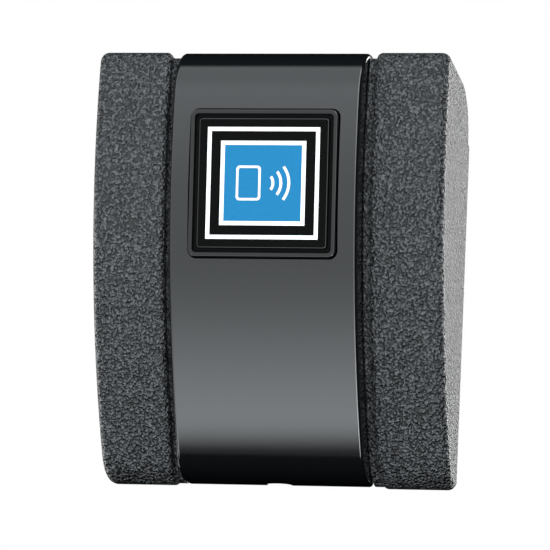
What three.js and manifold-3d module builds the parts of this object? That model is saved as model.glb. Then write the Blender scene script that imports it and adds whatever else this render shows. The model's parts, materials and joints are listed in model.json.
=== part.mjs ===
// Wall-mounted proximity card reader, in millimetres.
// +X is right, -Y points out of the wall toward the user and +Z is up.
// The wall is the plane Y = 0. "Depth" below means the distance from the wall, so Y = -depth.
import * as THREE from 'three';
import { mergeVertices } from 'three/addons/utils/BufferGeometryUtils.js';
import Module from 'manifold-3d';

const wasm = await Module();
wasm.setup();

// ---- Driving dimensions: outer shape --------------------------------------
const WIDTH = 88.8;
const HEIGHT = 105.6;
const TOP = HEIGHT / 2;
const BOTTOM = -HEIGHT / 2;
const REAR = 1; // the housing rim stands this far off the wall, level with the gasket's front
const WING_DEPTH = 34; // greatest depth of the two textured wings
const FRONT_RADIUS = 151; // the front face is one upright arc
const FRONT_HIGH_POINT = 31; // height at which that arc is deepest
const TOP_SLOPE = THREE.MathUtils.degToRad(9); // the top falls toward the wall
const WING_TOP_FRONT_RADIUS = 2.7;
const WING_BOTTOM_FRONT_RADIUS = 11.5;
const TOP_REAR_RADIUS = 13.9;
const OUTER_EDGE_RADIUS = 2.2;
const WING_INNER_EDGE_RADIUS = 1.4;
const WALL = 2.4;

// ---- Driving dimensions: centre panel and its channel ---------------------
const PANEL_HALF_WIDTH = 23.7;
const PANEL_PROUD = 4.3; // the panel stands this far in front of the wings
const PANEL_EDGE_RADIUS = 1;
const PANEL_TURN_RADIUS = 12; // how the panel rolls over at its top and bottom
const PANEL_SKIN = 2.2;
const PANEL_TOP_RISE = 1.25; // the panel stands above the wings' top line
const PANEL_BOTTOM_RISE = 0.2; // and stops just short of their foot
const PANEL_REAR = 3;
const PANEL_GAP = 0.3; // to the channel floor
const CHANNEL_HALF_WIDTH = 26;
const CHANNEL_DEPTH = 3.5;
const CHANNEL_TOP_DEPTH = 1.4;
const CHANNEL_BOTTOM_DEPTH = 2;
const CHANNEL_RADII = { topFront: 6, bottomFront: 8 };
// Rails along both sides of the channel: they close the gap beside the panel.
const RAIL = { inner: 24, front: 2.8, top: 0.5, bottom: 0.5, topFront: 2.5, bottomFront: 7 };

// ---- Driving dimensions: badge --------------------------------------------
const BADGE_WIDTH = 37.2;
const BADGE_HEIGHT = 36.6;
const BADGE_TILT = THREE.MathUtils.degToRad(-4.8); // follows the panel, facing slightly down
const BADGE_PROUD = 0.6;
const BADGE_RIM = 1.1;
const BADGE_CORNER = 1.9;
const BADGE_GAP = 0.3; // round the bezel in the panel's pocket
const BADGE_SEAT = BADGE_PROUD - 1.1; // floor of the moat
const BADGE_REAR = -7; // how far the bezel's skirt reaches into the panel
const BADGE_SKIRT = 2;
const BADGE_PLATE = { width: 32.8, height: 32.2, corner: 1, thickness: 0.95, gap: 0.05, round: 0.3 };
const LIGHT_WINDOW = { size: 19, height: 18, clear: 1 };

// ---- Driving dimensions: what is inside -----------------------------------
const PLATE_THICKNESS = 2;
const PLATE_OUTLINE = { width: 74, bottom: -44.5, top: 31 };
const PLATE_CORNER = 4;
const CABLE_HOLE = { halfWidth: 14, bottom: -30, top: -10 };
const HINGE_DEPTH = 4.2;
const HINGE_HEIGHT = 33.5;
const HOOK_BAR_RADIUS = 1.1;
const HOOK_X = [-20, 20];
const HOOK_WIDTH = 12;
const COVER_REAR = 6.5;
const COVER_THICKNESS = 2;
const COVER_BOTTOM = -40;
const COVER_TOP = 35.4;
const LEDGE = { rear: 9.4, front: 10.8, halfWidth: 39.6, lap: 2.2 };
const COVER_FRONT = COVER_REAR + COVER_THICKNESS;
const BOARD_REAR = 11;
const BOARD_THICKNESS = 1.6;
const BOARD_FRONT = BOARD_REAR + BOARD_THICKNESS;
const BOARD_WIDTH = 74;
const BOARD_BOTTOM = -32;
const BOARD_TOP = 35.4;
const SCREW_PLACES = [[-33, 29.5], [33, 29.5], [-33, -27], [33, -27]];
const SCREW = { head: 2.8, shank: 1.25, headHeight: 1.4, longTip: 25.5, shortTip: 17.4, sink: 1.45 };
const BOSS_RADIUS = 3;
const PILOT_RADIUS = SCREW.shank + 0.1;
const LOCK_DEPTH = 3.9;
const LOCK_SHANK_RADIUS = 1.5;
const LOCK_HEAD_RADIUS = 2.75;
const LOCK_CLEARANCE = { shank: 0.3, head: 0.45 };
const WALL_SCREW_SPACING = 60;
const WALL_SCREW_MIDDLE = -6.5;
const WALL_SCREW_HOLE = { plate: 2.1, gasket: 2.6 };
const TAMPER = { x: -15, z: 8, radius: 1.45 };
const FAR = 70; // beyond every face, for the tools that cut right through
const ARC_STEPS = 8;
const LONG_ARC_STEPS = 22;
const EDGE_STEPS = 4;

// ---- Solids: closed meshes joined and cut ---------------------------------
function solid(geometry) {
  const bare = geometry.clone();
  bare.deleteAttribute('normal');
  bare.deleteAttribute('uv');
  const merged = mergeVertices(bare, 1e-4);
  return new wasm.Manifold(new wasm.Mesh({
    numProp: 3,
    vertProperties: new Float32Array(merged.attributes.position.array),
    triVerts: new Uint32Array(merged.index.array),
  }));
}

// Turns a solid back into a geometry; corners that rounding has split are closed up again.
function geometryOf(manifold) {
  const mesh = manifold.getMesh();
  const raw = new THREE.BufferGeometry();
  raw.setAttribute('position', new THREE.BufferAttribute(mesh.vertProperties, 3));
  raw.setIndex(new THREE.BufferAttribute(mesh.triVerts, 1));
  const geometry = mergeVertices(raw, 1e-3);
  const corners = geometry.index.array;
  const kept = [];
  for (let i = 0; i < corners.length; i += 3) {
    const [a, b, c] = corners.slice(i, i + 3);
    if (a !== b && b !== c && c !== a) kept.push(a, b, c);
  }
  geometry.setIndex(kept);
  geometry.computeVertexNormals();
  return geometry;
}

const join = (...parts) => parts.reduce((sum, part) => sum.add(part));
const cut = (body, ...tools) => tools.reduce((rest, tool) => rest.subtract(tool), body);

// A block given by its limits in X, in depth and in Z.
function block(x0, x1, depth0, depth1, z0, z1) {
  const geometry = new THREE.BoxGeometry(x1 - x0, depth1 - depth0, z1 - z0);
  geometry.translate((x0 + x1) / 2, -(depth0 + depth1) / 2, (z0 + z1) / 2);
  return geometry;
}

// A round bar along the depth direction.
function rod(x, z, radius, depth0, depth1, sides = 20) {
  const geometry = new THREE.CylinderGeometry(radius, radius, depth1 - depth0, sides);
  geometry.translate(x, -(depth0 + depth1) / 2, z);
  return geometry;
}

// A round bar along X.
function crossRod(x0, x1, depth, z, radius, sides = 20) {
  const geometry = new THREE.CylinderGeometry(radius, radius, x1 - x0, sides);
  geometry.rotateZ(Math.PI / 2);
  geometry.translate((x0 + x1) / 2, -depth, z);
  return geometry;
}

// A round bar along Z.
function uprightRod(x, depth, radius, z0, z1, sides = 20) {
  const geometry = new THREE.CylinderGeometry(radius, radius, z1 - z0, sides);
  geometry.rotateX(Math.PI / 2);
  geometry.translate(x, -depth, (z0 + z1) / 2);
  return geometry;
}

function roundedRectangle(width, height, radius) {
  const x = width / 2 - radius;
  const y = height / 2 - radius;
  const shape = new THREE.Shape();
  shape.absarc(x, y, radius, 0, Math.PI / 2);
  shape.absarc(-x, y, radius, Math.PI / 2, Math.PI);
  shape.absarc(-x, -y, radius, Math.PI, 1.5 * Math.PI);
  shape.absarc(x, -y, radius, 1.5 * Math.PI, 2 * Math.PI);
  return shape;
}

// A rounded plate standing upright: front face toward the user, limits given in depth.
function uprightPlate(width, z0, z1, radius, depth0, depth1) {
  const geometry = new THREE.ExtrudeGeometry(roundedRectangle(width, z1 - z0, radius), {
    depth: depth1 - depth0, bevelEnabled: false, curveSegments: 3,
  });
  geometry.rotateX(Math.PI / 2);
  geometry.translate(0, -depth0, (z0 + z1) / 2);
  return geometry;
}

// ---- The side outline: every shell of the reader is a version of it -------
function arcPoints(x, y, radius, from, to, steps) {
  const points = [];
  for (let i = 0; i <= steps; i += 1) {
    const angle = from + ((to - from) * i) / steps;
    points.push(new THREE.Vector2(x + radius * Math.cos(angle), y + radius * Math.sin(angle)));
  }
  return points;
}

// front, top and bottom are offsets, outward positive; x of the outline is depth, y is height.
function sideOutline({ front = 0, top = 0, bottom = 0, rear = REAR, lowRear = rear, radii }) {
  const centre = new THREE.Vector2(WING_DEPTH - FRONT_RADIUS, FRONT_HIGH_POINT);
  const radius = FRONT_RADIUS + front;
  const floor = BOTTOM - bottom;
  const lowTurn = new THREE.Vector2(0, floor + radii.bottomFront);
  lowTurn.x = centre.x + Math.sqrt((radius - radii.bottomFront) ** 2 - (lowTurn.y - centre.y) ** 2);
  const lowAngle = Math.atan2(lowTurn.y - centre.y, lowTurn.x - centre.x);

  const slope = new THREE.Vector2(Math.cos(TOP_SLOPE), Math.sin(TOP_SLOPE));
  const upward = new THREE.Vector2(-slope.y, slope.x);
  const onTop = new THREE.Vector2(WING_DEPTH, TOP).addScaledVector(upward, top - radii.topFront);
  const away = onTop.clone().sub(centre);
  const along = away.dot(slope);
  const reach = (radius - radii.topFront) ** 2 - away.lengthSq();
  const highTurn = onTop.addScaledVector(slope, Math.sqrt(along ** 2 + reach) - along);
  const highAngle = Math.atan2(highTurn.y - centre.y, highTurn.x - centre.x);
  const topAngle = Math.atan2(upward.y, upward.x);

  const rearDepth = rear + radii.topRear;
  const topLine = TOP + (top - radii.topRear) / slope.x + (rearDepth - WING_DEPTH) * Math.tan(TOP_SLOPE);
  const points = [new THREE.Vector2(lowRear, floor)];
  points.push(...arcPoints(lowTurn.x, lowTurn.y, radii.bottomFront, -Math.PI / 2, lowAngle, ARC_STEPS));
  points.push(...arcPoints(centre.x, centre.y, radius, lowAngle, highAngle, LONG_ARC_STEPS).slice(1, -1));
  points.push(...arcPoints(highTurn.x, highTurn.y, radii.topFront, highAngle, topAngle, ARC_STEPS));
  points.push(...arcPoints(rearDepth, topLine, radii.topRear, topAngle, Math.PI, ARC_STEPS));
  return points;
}

// Sweeps a side outline from X = left to X = right, with both ends rounded over.
function acrossX(outline, left, right, round = 0) {
  const geometry = new THREE.ExtrudeGeometry(new THREE.Shape(outline), {
    depth: right - left - 2 * round,
    bevelEnabled: round > 0,
    bevelThickness: round,
    bevelSize: round,
    bevelOffset: -round,
    bevelSegments: EDGE_STEPS,
  });
  const turn = new THREE.Matrix4().makeBasis(
    new THREE.Vector3(0, -1, 0), new THREE.Vector3(0, 0, 1), new THREE.Vector3(-1, 0, 0));
  geometry.applyMatrix4(turn.setPosition(right - round, 0, 0));
  return geometry;
}

// ---- Materials -------------------------------------------------------------
const finish = (color, roughness, metalness = 0) =>
  new THREE.MeshStandardMaterial({ color, roughness, metalness });
const texturedShell = () => finish('#4b5053', 0.62);
const glossShell = () => finish('#303335', 0.3);
const blackShell = () => finish('#0d0e0f', 0.2);
const darkPlastic = () => finish('#1b1c1e', 0.6);
const zincSteel = () => finish('#a9adb0', 0.35, 1);
const boardGreen = () => finish('#1d5a3a', 0.5);
const chipBlack = () => finish('#18191a', 0.55);

const reader = new THREE.Group();
function add(name, geometry, material, parent = reader) {
  const mesh = new THREE.Mesh(geometry, material);
  mesh.name = name;
  parent.add(mesh);
  return mesh;
}

// ---- Front housing: two wings joined by the floor of the centre channel ----
const wingRadii = {
  topFront: WING_TOP_FRONT_RADIUS,
  topRear: TOP_REAR_RADIUS,
  bottomFront: WING_BOTTOM_FRONT_RADIUS,
};
const coreOutline = (gap) => sideOutline({
  front: gap - CHANNEL_DEPTH,
  top: gap - CHANNEL_TOP_DEPTH,
  bottom: gap - CHANNEL_BOTTOM_DEPTH,
  radii: { ...CHANNEL_RADII, topRear: TOP_REAR_RADIUS - CHANNEL_TOP_DEPTH },
});
const OPENING = { halfWidth: WIDTH / 2 - WALL - 0.5, bottom: -49, top: 36 };
const CLAMP_PAD = { halfWidth: 8, depth: 7.4, bottom: -49.4, top: -47.4 };
const LOCK_TAB = { halfWidth: 6, depth: 6.4, bottom: -47, top: -45.2 };

const screwTip = (z) => (z > 0 ? SCREW.longTip : SCREW.shortTip);

function wing(side) {
  const outline = sideOutline({ lowRear: REAR - 4, radii: wingRadii });
  const outer = side * WIDTH / 2;
  const inner = side * CHANNEL_HALF_WIDTH;
  const outward = solid(acrossX(outline, Math.min(outer, 0), Math.max(outer, 0), OUTER_EDGE_RADIUS));
  const inward = solid(acrossX(outline, Math.min(inner, FAR * side), Math.max(inner, FAR * side),
    WING_INNER_EDGE_RADIUS));
  // The rounded edges stop at the rim, which is square and flat against the wall.
  const rim = solid(block(Math.min(inner, outer), Math.max(inner, outer), REAR, REAR + OUTER_EDGE_RADIUS + 0.1,
    BOTTOM + OUTER_EDGE_RADIUS, OPENING.top));
  return cut(join(outward.intersect(inward), rim), solid(block(-FAR, FAR, -FAR, REAR, -FAR, FAR)));
}

function rail(side) {
  const outline = sideOutline({
    front: -RAIL.front,
    top: -RAIL.top,
    bottom: -RAIL.bottom,
    radii: { topFront: RAIL.topFront, topRear: TOP_REAR_RADIUS - RAIL.top, bottomFront: RAIL.bottomFront },
  });
  const ends = [side * RAIL.inner, side * (CHANNEL_HALF_WIDTH + WING_INNER_EDGE_RADIUS)];
  return solid(acrossX(outline, Math.min(...ends), Math.max(...ends)));
}

function lockSlot() {
  const shank = LOCK_SHANK_RADIUS + LOCK_CLEARANCE.shank;
  const head = LOCK_HEAD_RADIUS + LOCK_CLEARANCE.head;
  return join(
    solid(block(-shank, shank, -FAR, LOCK_DEPTH + shank, -FAR, PLATE_OUTLINE.bottom + 0.5)),
    solid(block(-head, head, -FAR, LOCK_DEPTH + head, -FAR, CLAMP_PAD.bottom)),
  );
}

function frontHousing() {
  const side = WIDTH / 2 - WALL;
  const middleHollow = solid(acrossX(sideOutline({
    front: -CHANNEL_DEPTH - WALL,
    top: -CHANNEL_TOP_DEPTH - WALL,
    bottom: -CHANNEL_BOTTOM_DEPTH - WALL,
    rear: REAR + WALL,
    lowRear: -REAR,
    radii: { topFront: 4, topRear: TOP_REAR_RADIUS - WALL, bottomFront: 2 },
  }), -side, side));
  const wingHollow = sideOutline({
    front: -WALL,
    top: -WALL,
    bottom: -WALL,
    rear: REAR + WALL,
    lowRear: -REAR,
    radii: { topFront: 1, topRear: TOP_REAR_RADIUS - WALL, bottomFront: 7 },
  });
  const wallInside = CHANNEL_HALF_WIDTH + WALL;
  const rearOpening = block(-OPENING.halfWidth, OPENING.halfWidth, -1, REAR + WALL + 0.7, OPENING.bottom,
    OPENING.top);
  const coreEnd = CHANNEL_HALF_WIDTH + WING_INNER_EDGE_RADIUS + 0.1;
  const core = solid(acrossX(coreOutline(0), -coreEnd, coreEnd));
  const outside = join(wing(-1), wing(1), core, rail(-1), rail(1));
  const tabRelief = block(-LOCK_TAB.halfWidth - 1, LOCK_TAB.halfWidth + 1, 0, LOCK_TAB.depth + 0.6,
    CLAMP_PAD.top - 0.5, -43);
  const hollow = join(
    middleHollow,
    solid(acrossX(wingHollow, -side + 0.2, -wallInside)),
    solid(acrossX(wingHollow, wallInside, side - 0.2)),
    solid(rearOpening),
    solid(tabRelief),
  );
  // The ledge, the clamp pad and the screw bosses are what the hollow leaves standing.
  const ledge = cut(
    solid(block(-FAR, FAR, LEDGE.rear, LEDGE.front, -FAR, FAR)),
    solid(block(-LEDGE.halfWidth, LEDGE.halfWidth, COVER_FRONT, BOARD_REAR + 0.2, COVER_BOTTOM + LEDGE.lap,
      COVER_TOP - LEDGE.lap)),
  );
  const pad = solid(block(-CLAMP_PAD.halfWidth, CLAMP_PAD.halfWidth, -FAR, CLAMP_PAD.depth,
    -FAR, CLAMP_PAD.top));
  const bosses = SCREW_PLACES.map(([x, z]) => solid(rod(x, z, BOSS_RADIUS, BOARD_FRONT + 0.1, FAR)));
  const pilots = SCREW_PLACES.map(([x, z]) => solid(rod(x, z, PILOT_RADIUS, BOARD_REAR, screwTip(z) + 0.4)));
  const lightReach = LIGHT_WINDOW.size / 2 + LIGHT_WINDOW.clear;
  const lightHole = solid(block(-lightReach, lightReach, 20, FAR, LIGHT_WINDOW.height - lightReach,
    LIGHT_WINDOW.height + lightReach));
  return cut(outside, cut(hollow, ledge, pad, ...bosses), lockSlot(), lightHole, ...pilots);
}

add('front_housing', geometryOf(frontHousing()), texturedShell());

// ---- Badge frame of reference: origin on the panel's surface, z outward -----
const badgeOnPanel = new THREE.Matrix4().makeBasis(
  new THREE.Vector3(1, 0, 0),
  new THREE.Vector3(0, Math.sin(BADGE_TILT), Math.cos(BADGE_TILT)),
  new THREE.Vector3(0, -Math.cos(BADGE_TILT), Math.sin(BADGE_TILT)));
badgeOnPanel.setPosition(
  0,
  FRONT_RADIUS - WING_DEPTH - (FRONT_RADIUS + PANEL_PROUD) * Math.cos(BADGE_TILT),
  FRONT_HIGH_POINT + (FRONT_RADIUS + PANEL_PROUD) * Math.sin(BADGE_TILT));

// A plate parallel to the badge face, limits given outward from the panel's surface.
function badgePlate(width, height, radius, from, to, round = 0) {
  const geometry = new THREE.ExtrudeGeometry(roundedRectangle(width, height, radius), {
    depth: to - from - 2 * round,
    bevelEnabled: round > 0,
    bevelThickness: round,
    bevelSize: round,
    bevelOffset: -round,
    bevelSegments: 3,
    curveSegments: 4,
  });
  geometry.translate(0, 0, from + round);
  return geometry;
}

// ---- Centre panel: a hollow gloss moulding that wraps over top and bottom ---
function centrePanel() {
  const outline = (inset) => sideOutline({
    front: PANEL_PROUD - inset,
    top: PANEL_TOP_RISE - inset,
    bottom: -PANEL_BOTTOM_RISE - inset,
    radii: {
      topFront: PANEL_TURN_RADIUS - inset,
      topRear: TOP_REAR_RADIUS - inset,
      bottomFront: PANEL_TURN_RADIUS - inset,
    },
  });
  const inside = PANEL_HALF_WIDTH - PANEL_SKIN;
  const pocket = badgePlate(BADGE_WIDTH + 2 * BADGE_GAP, BADGE_HEIGHT + 2 * BADGE_GAP, BADGE_CORNER + BADGE_GAP,
    -6, 6);
  pocket.applyMatrix4(badgeOnPanel);
  return cut(
    solid(acrossX(outline(0), -PANEL_HALF_WIDTH, PANEL_HALF_WIDTH, PANEL_EDGE_RADIUS)),
    solid(acrossX(outline(PANEL_SKIN), -inside, inside)),
    solid(acrossX(coreOutline(PANEL_GAP), -FAR, FAR)),
    solid(block(-FAR, FAR, -FAR, PANEL_REAR, -FAR, FAR)),
    solid(pocket),
    lockSlot(),
  );
}

add('centre_panel', geometryOf(centrePanel()), glossShell());

// ---- Badge: square bezel with a raised rim and a moat, and a printed plate --
const badge = new THREE.Group();
badge.applyMatrix4(badgeOnPanel);
reader.add(badge);

function badgeBezel() {
  const window = LIGHT_WINDOW.size + 2 * LIGHT_WINDOW.clear;
  const inFromEdge = (inset, from, to) =>
    solid(badgePlate(BADGE_WIDTH - 2 * inset, BADGE_HEIGHT - 2 * inset, 1, from, to));
  return cut(
    solid(badgePlate(BADGE_WIDTH, BADGE_HEIGHT, BADGE_CORNER, BADGE_REAR, BADGE_PROUD, 0.45)),
    inFromEdge(BADGE_RIM, BADGE_SEAT, 3),
    inFromEdge(BADGE_SKIRT, BADGE_REAR - 2, BADGE_SEAT - 1.2),
    solid(badgePlate(window, window, 1, BADGE_REAR - 2, 3)),
  );
}

add('badge_bezel', geometryOf(badgeBezel()), blackShell(), badge);
const plateRear = BADGE_SEAT + BADGE_PLATE.gap;
add('badge_plate', badgePlate(BADGE_PLATE.width, BADGE_PLATE.height, BADGE_PLATE.corner, plateRear,
  plateRear + BADGE_PLATE.thickness, BADGE_PLATE.round), finish('#2f86c4', 0.12), badge);

const halfWindow = LIGHT_WINDOW.size / 2;
const lightGuide = block(-halfWindow, halfWindow, BOARD_FRONT + 2.2, 36, LIGHT_WINDOW.height - halfWindow,
  LIGHT_WINDOW.height + halfWindow);
add('light_guide', lightGuide, finish('#dfe6ea', 0.25));

// ---- Wall side: gasket and mounting plate ----------------------------------

function wallScrewHoles(radius, depth0, depth1) {
  return [-1, 1].map((side) =>
    solid(rod(0, WALL_SCREW_MIDDLE + side * WALL_SCREW_SPACING / 2, radius, depth0, depth1, 16)));
}

function wallGasket() {
  return cut(
    solid(uprightPlate(PLATE_OUTLINE.width, PLATE_OUTLINE.bottom, PLATE_OUTLINE.top, PLATE_CORNER,
      0, REAR - 0.02)),
    solid(block(-CABLE_HOLE.halfWidth - 1, CABLE_HOLE.halfWidth + 1, -1, 3, CABLE_HOLE.bottom - 1,
      CABLE_HOLE.top + 1)),
    ...wallScrewHoles(WALL_SCREW_HOLE.gasket, -1, 3),
  );
}

function mountingPlate() {
  const front = REAR + PLATE_THICKNESS;
  const { width, bottom, top } = PLATE_OUTLINE;
  const pieces = [solid(uprightPlate(width, bottom, top, PLATE_CORNER, REAR, front))];
  HOOK_X.forEach((x) => {
    const left = x - HOOK_WIDTH / 2;
    const right = x + HOOK_WIDTH / 2;
    pieces.push(solid(block(left, right, REAR, front, PLATE_OUTLINE.top - 4, HINGE_HEIGHT)));
    pieces.push(solid(block(left, right, front - 0.5, HINGE_DEPTH, HINGE_HEIGHT - 1.05, HINGE_HEIGHT)));
    pieces.push(solid(crossRod(left, right, HINGE_DEPTH, HINGE_HEIGHT, HOOK_BAR_RADIUS)));
  });
  pieces.push(solid(block(-LOCK_TAB.halfWidth, LOCK_TAB.halfWidth, REAR, LOCK_TAB.depth,
    LOCK_TAB.bottom, LOCK_TAB.top)));
  pieces.push(solid(block(-LOCK_TAB.halfWidth, LOCK_TAB.halfWidth, REAR, front,
    LOCK_TAB.bottom, PLATE_OUTLINE.bottom + 1)));
  return cut(
    join(...pieces),
    solid(block(-CABLE_HOLE.halfWidth, CABLE_HOLE.halfWidth, -1, 5, CABLE_HOLE.bottom, CABLE_HOLE.top)),
    solid(uprightRod(0, LOCK_DEPTH, LOCK_SHANK_RADIUS + 0.08, LOCK_TAB.bottom - 1, LOCK_TAB.top + 0.5)),
    ...wallScrewHoles(WALL_SCREW_HOLE.plate, -1, 5),
  );
}

add('wall_gasket', geometryOf(wallGasket()), finish('#26282a', 0.95));
add('mounting_plate', geometryOf(mountingPlate()), zincSteel());

// ---- Rear cover with the two saddles that hang on the plate's hook bars ----
function saddle(x) {
  const width = HOOK_WIDTH - 1;
  const outer = 2.6;
  const half = new THREE.Shape();
  half.absarc(0, 0, outer, -0.6, 1.75, false);
  half.absarc(0, 0, HOOK_BAR_RADIUS + 0.1, 1.75, -0.6, true);
  const hook = new THREE.ExtrudeGeometry(half, { depth: width, bevelEnabled: false, curveSegments: 8 });
  const turn = new THREE.Matrix4().makeBasis(
    new THREE.Vector3(0, -1, 0), new THREE.Vector3(0, 0, 1), new THREE.Vector3(-1, 0, 0));
  hook.applyMatrix4(turn.setPosition(x + width / 2, -HINGE_DEPTH, HINGE_HEIGHT));
  const web = block(x - width / 2, x + width / 2, HINGE_DEPTH + 1.7, COVER_REAR + 0.5,
    HINGE_HEIGHT - 1.2, HINGE_HEIGHT + 1.2);
  return [solid(hook), solid(web)];
}

const TERMINALS = { x: 4, z: -14, pitch: 3.5, ways: 6, height: 8, depth: 6.4 };
const terminalWidth = TERMINALS.ways * TERMINALS.pitch + 1.5;

function rearCover() {
  const plate = solid(uprightPlate(82.6, COVER_BOTTOM, COVER_TOP, 2, COVER_REAR, COVER_FRONT));
  const posts = SCREW_PLACES.map(([x, z]) => solid(rod(x, z, 3.2, COVER_FRONT - 0.5, BOARD_REAR - 0.05)));
  const holes = SCREW_PLACES.map(([x, z]) => solid(rod(x, z, 1.5, COVER_REAR - 1, BOARD_REAR + 1)));
  const plungerHole = solid(rod(TAMPER.x, TAMPER.z, TAMPER.radius + 0.4, COVER_REAR - 1, COVER_FRONT + 1));
  const terminalHole = solid(block(TERMINALS.x - terminalWidth / 2 - 0.6, TERMINALS.x + terminalWidth / 2 + 0.6,
    COVER_REAR - 1, COVER_FRONT + 1, TERMINALS.z - TERMINALS.height / 2 - 0.6,
    TERMINALS.z + TERMINALS.height / 2 + 0.6));
  return cut(join(plate, ...posts, ...HOOK_X.flatMap(saddle)), plungerHole, terminalHole, ...holes);
}

function housingSeal() {
  return cut(
    solid(uprightPlate(81.8, COVER_BOTTOM + 0.6, COVER_TOP - 0.2, 2, COVER_FRONT + 0.08, LEDGE.rear - 0.08)),
    solid(uprightPlate(79.4, COVER_BOTTOM + 1.8, COVER_TOP - 1.4, 1.4, COVER_FRONT - 1, 10)),
  );
}

add('rear_cover', geometryOf(rearCover()), darkPlastic());
add('housing_seal', geometryOf(housingSeal()), finish('#0f0f10', 0.9));

// A pan-head screw along the depth direction: head at the wall side, point at the front.
function panScrew(headRadius, shankRadius, headHeight, length) {
  const profile = [
    [0, 0], [headRadius * 0.75, 0], [headRadius, headHeight * 0.45], [headRadius, headHeight],
    [shankRadius, headHeight], [shankRadius, length - shankRadius], [0, length],
  ].map(([r, y]) => new THREE.Vector2(r, y));
  const body = new THREE.LatheGeometry(profile, 18);
  const slots = [0, Math.PI / 2].map((angle) => {
    const slot = new THREE.BoxGeometry(headRadius * 1.1, 1.2, 0.7);
    slot.rotateY(angle);
    return solid(slot);
  });
  return geometryOf(cut(solid(body), ...slots));
}

SCREW_PLACES.forEach(([x, z], index) => {
  const seat = COVER_REAR - SCREW.sink;
  const geometry = panScrew(SCREW.head, SCREW.shank, SCREW.headHeight, screwTip(z) - seat);
  const screw = add(`housing_screw_${index + 1}`, geometry, zincSteel());
  screw.rotation.x = Math.PI;
  screw.position.set(x, -seat, z);
});

// ---- Circuit board and what is soldered to it ------------------------------
function mainBoard() {
  const holes = SCREW_PLACES.map(([x, z]) => solid(rod(x, z, 1.7, BOARD_REAR - 1, BOARD_FRONT + 1, 16)));
  return cut(solid(uprightPlate(BOARD_WIDTH, BOARD_BOTTOM, BOARD_TOP, 2, BOARD_REAR, BOARD_FRONT)), ...holes);
}

add('main_board', geometryOf(mainBoard()), boardGreen());

// A chip with legs along its left and right sides.
function chip(width, height, thickness, legs) {
  const body = new THREE.BoxGeometry(width, thickness, height);
  const pieces = [solid(body)];
  for (let i = 0; i < legs; i += 1) {
    const z = ((i + 0.5) / legs - 0.5) * height * 0.9;
    const leg = new THREE.BoxGeometry(width + 2, thickness * 0.35, (height / legs) * 0.4);
    leg.translate(0, thickness * 0.3, z);
    pieces.push(solid(leg));
  }
  return geometryOf(join(...pieces));
}

function onBoard(name, geometry, material, x, z, thickness) {
  const mesh = add(name, geometry, material);
  mesh.position.set(x, -(BOARD_FRONT + 0.05 + thickness / 2), z);
}

onBoard('controller_chip', chip(9, 10, 1.4, 10), chipBlack(), -15, -2, 1.4);
onBoard('radio_chip', chip(6, 7, 1.2, 6), chipBlack(), 14, -1, 1.2);
onBoard('voltage_regulator', chip(6, 6.5, 2, 3), chipBlack(), -22, -23, 2);

function crystalCan() {
  const geometry = new THREE.ExtrudeGeometry(roundedRectangle(8, 3.6, 1.75), {
    depth: 1.6, bevelEnabled: true, bevelThickness: 0.3, bevelSize: 0.3, bevelOffset: -0.3,
    bevelSegments: 2, curveSegments: 4,
  });
  geometry.translate(0, 0, -0.8);
  geometry.rotateX(Math.PI / 2);
  return geometry;
}

onBoard('timing_crystal', crystalCan(), finish('#c4c7ca', 0.3, 1), 0, -4, 2.2);

function electrolytic(radius, height) {
  const profile = [
    [0, 0], [radius, 0], [radius, height * 0.15], [radius * 0.93, height * 0.22], [radius, height * 0.3],
    [radius, height - 0.3], [radius - 0.3, height], [0, height],
  ].map(([r, y]) => new THREE.Vector2(r, y));
  const geometry = new THREE.LatheGeometry(profile, 18);
  geometry.translate(0, -height / 2, 0);
  geometry.rotateX(Math.PI);
  return geometry;
}

[-6, 2].forEach((x, index) => {
  onBoard(`capacitor_${index + 1}`, electrolytic(2.6, 3.2), finish('#8f949a', 0.35, 1), x, -23, 3.2);
});

function beeperCase() {
  const radius = 5.5;
  const height = 2.4;
  const profile = [[0, 0], [radius, 0], [radius, height - 0.5], [radius - 0.5, height], [1.3, height],
    [1.3, height - 0.8], [0, height - 0.8]].map(([r, y]) => new THREE.Vector2(r, y));
  const geometry = new THREE.LatheGeometry(profile, 24);
  geometry.translate(0, -height / 2, 0);
  geometry.rotateX(Math.PI);
  return geometry;
}

onBoard('beeper', beeperCase(), finish('#141415', 0.5), 21, -22, 2.4);

const LIGHTS = {
  status_led_red: [-5, '#d23b32'],
  status_led_amber: [0, '#e0a32c'],
  status_led_green: [5, '#3fae5a'],
};
Object.entries(LIGHTS).forEach(([name, [x, color]]) => {
  const base = new THREE.BoxGeometry(3.2, 0.8, 2.8);
  const lens = new THREE.SphereGeometry(0.95, 12, 8);
  lens.translate(0, -0.7, 0);
  onBoard(name, geometryOf(join(solid(base), solid(lens))), finish(color, 0.3), x, LIGHT_WINDOW.height, 0.8);
});

// ---- Aerial: a coil wound on a rectangular former in front of the board -----
const COIL = { middle: 10, width: 52, height: 44, wall: 2, flange: 3 };

function frameRing(width, height, inset, depth0, depth1) {
  const z0 = COIL.middle - height / 2;
  const z1 = COIL.middle + height / 2;
  return cut(
    solid(uprightPlate(width, z0, z1, 3, depth0, depth1)),
    solid(uprightPlate(width - 2 * inset, z0 + inset, z1 - inset, 2, depth0 - 1, depth1 + 1)),
  );
}

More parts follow.
